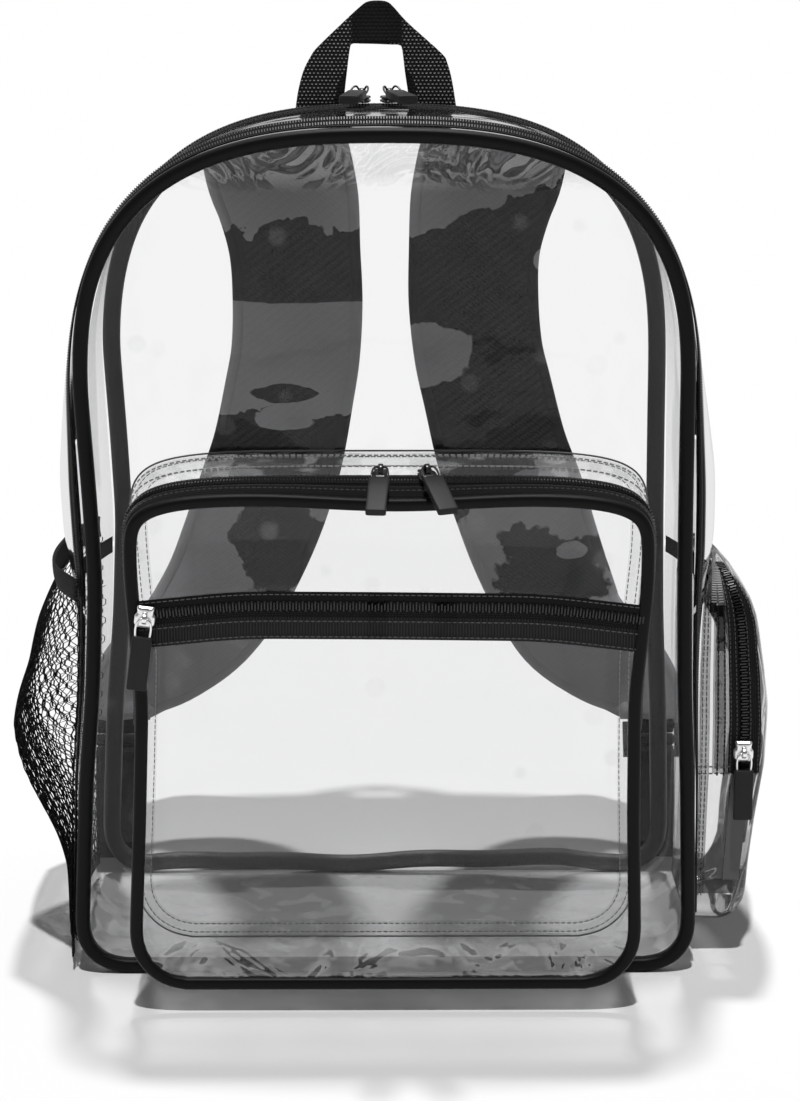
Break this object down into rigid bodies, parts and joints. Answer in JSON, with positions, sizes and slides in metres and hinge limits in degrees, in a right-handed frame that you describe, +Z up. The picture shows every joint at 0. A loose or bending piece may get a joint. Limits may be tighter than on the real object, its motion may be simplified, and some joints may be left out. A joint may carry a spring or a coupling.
{
  "type": "clear stadium backpack",
  "caption": "Clear plastic backpack with black piping, an arched top, a zipped front pocket, a mesh and a zipped side pocket, padded straps and a top handle.",
  "frame": {"origin": "middle of the base on the floor, half way between the front and back panels", "axes": "+Z up from the base to the handle, +Y toward the shoulder straps, +X to the right seen from the front"},
  "size_m": [0.3896, 0.3018, 0.479],
  "materials": {
    "clear": "clear, glossy, soft sheet",
    "piping": "smooth black piping",
    "tape": "black woven zipper tape",
    "webbing": "black basket weave webbing",
    "pad": "black spacer mesh over foam",
    "mesh": "open black net",
    "lock": "moulded black plastic",
    "dark_metal": "black coated metal",
    "nickel": "bright nickel",
    "pull": "moulded black pull"
  },
  "bodies": {
    "bag": {"front_panel": "clear", "back_panel": "clear", "gusset_front": "clear", "gusset_rear": "clear", "gusset_lower": "clear", "pocket_gusset": "clear", "pocket_flange": "clear", "pocket_panel_upper": "clear", "pocket_panel_lower": "clear", "side_pocket": "clear", "front_binding": "piping", "back_binding": "piping", "pocket_binding": "piping", "front_seam_tape": "tape", "side_seam_tape_left": "tape", "side_seam_tape_right": "tape", "main_zipper": "tape", "pocket_zipper": "tape", "pocket_cross_zipper": "tape", "pocket_cross_strip": "tape", "side_pocket_zipper": "tape", "side_pocket_strip": "tape", "mesh_pocket_hem": "tape", "handle": "webbing", "strap_webbing_left": "webbing", "strap_webbing_right": "webbing", "mesh_pocket_band": "webbing", "strap_pad_left": "pad", "strap_pad_right": "pad", "mesh_pocket": "mesh", "strap_adjuster_left": "lock", "strap_adjuster_right": "lock", "main_slider_left": "dark_metal", "main_slider_right": "dark_metal", "pocket_slider_left": "dark_metal", "pocket_slider_right": "dark_metal", "pocket_cross_slider": "nickel", "side_pocket_slider": "nickel"},
    "main_pull_left_body": {"main_pull_left": "pull"},
    "main_pull_right_body": {"main_pull_right": "pull"},
    "pocket_pull_left_body": {"pocket_pull_left": "pull"},
    "pocket_pull_right_body": {"pocket_pull_right": "pull"},
    "pocket_cross_pull_body": {"pocket_cross_pull": "pull"},
    "side_pocket_pull_body": {"side_pocket_pull": "pull"}
  },
  "joints": [
    {"name": "main_pull_left_swing", "type": "hinge", "parent": "bag", "child": "main_pull_left_body", "pos_m": [-0.0115, 0.036, 0.4349], "axis": [-0.9703, 0.2419, 0], "range_deg": [0, 90]},
    {"name": "main_pull_right_swing", "type": "hinge", "parent": "bag", "child": "main_pull_right_body", "pos_m": [0.0025, 0.036, 0.4349], "axis": [-0.9511, -0.309, 0], "range_deg": [0, 90]},
    {"name": "pocket_pull_left_swing", "type": "hinge", "parent": "bag", "child": "pocket_pull_left_body", "pos_m": [-0.002, -0.11175, 0.27113], "axis": [-0.9976, 0.0688, 0.0117], "range_deg": [0, 150]},
    {"name": "pocket_pull_right_swing", "type": "hinge", "parent": "bag", "child": "pocket_pull_right_body", "pos_m": [0.02, -0.11175, 0.27113], "axis": [-0.9613, -0.2717, -0.0462], "range_deg": [0, 150]},
    {"name": "pocket_cross_pull_swing", "type": "hinge", "parent": "bag", "child": "pocket_cross_pull_body", "pos_m": [-0.1134, -0.1304, 0.20263], "axis": [-0.9914, 0, 0.1305], "range_deg": [0, 150]},
    {"name": "side_pocket_pull_swing", "type": "hinge", "parent": "bag", "child": "side_pocket_pull_body", "pos_m": [0.1798, -0.0603, 0.1125], "axis": [-1, 0, 0], "range_deg": [0, 150]}
  ]
}
